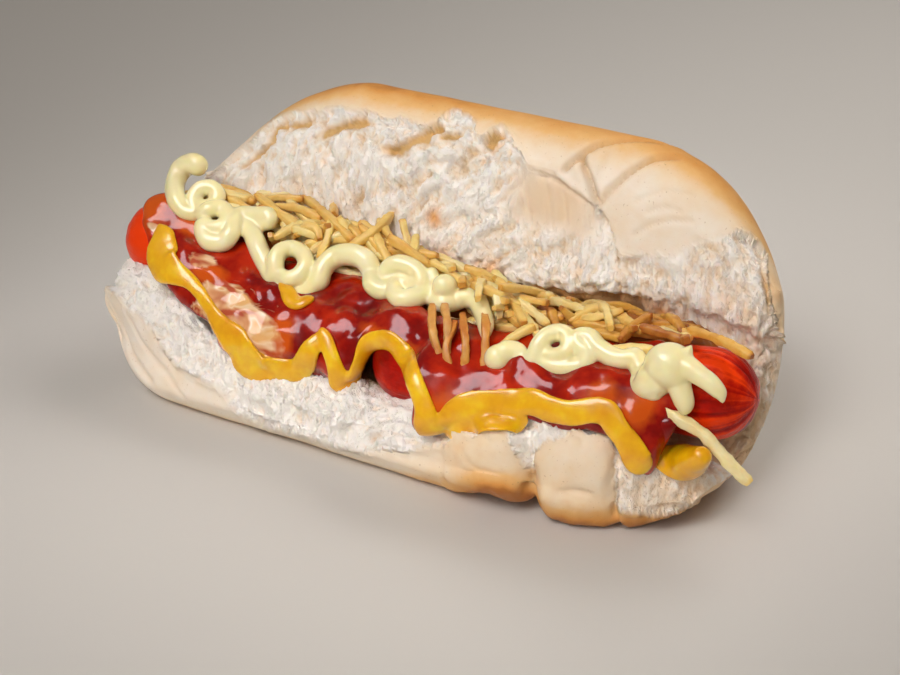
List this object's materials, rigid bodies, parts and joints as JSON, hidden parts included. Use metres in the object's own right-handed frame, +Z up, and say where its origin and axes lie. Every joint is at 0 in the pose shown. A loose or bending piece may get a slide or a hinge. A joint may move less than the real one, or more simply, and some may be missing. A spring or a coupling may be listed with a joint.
{
  "type": "hot dog",
  "caption": "Loaded hot dog: sausages in a split white bun under potato straws, ketchup, mustard and mayonnaise.",
  "frame": {"origin": "on the flat underside of the bun, below the middle of the filling", "axes": "+X along the bun towards its right end, +Y towards the uncut hinge side, +Z up"},
  "size_m": [0.2116, 0.0935, 0.0848],
  "materials": {
    "bread": "soft white crumb with a thin tan crust",
    "sausage": "glossy red skin",
    "potato": "crisp fried, lightly oiled",
    "ketchup": "wet gloss",
    "mustard": "wet gloss",
    "mayonnaise": "satin gloss"
  },
  "bodies": {
    "root": {"bun": "bread", "sausage_left": "sausage", "sausage_right": "sausage", "potato_straws": "potato", "straw_loose": "potato", "ketchup": "ketchup", "mustard": "mustard", "mayonnaise": "mayonnaise"}
  },
  "joints": []
}
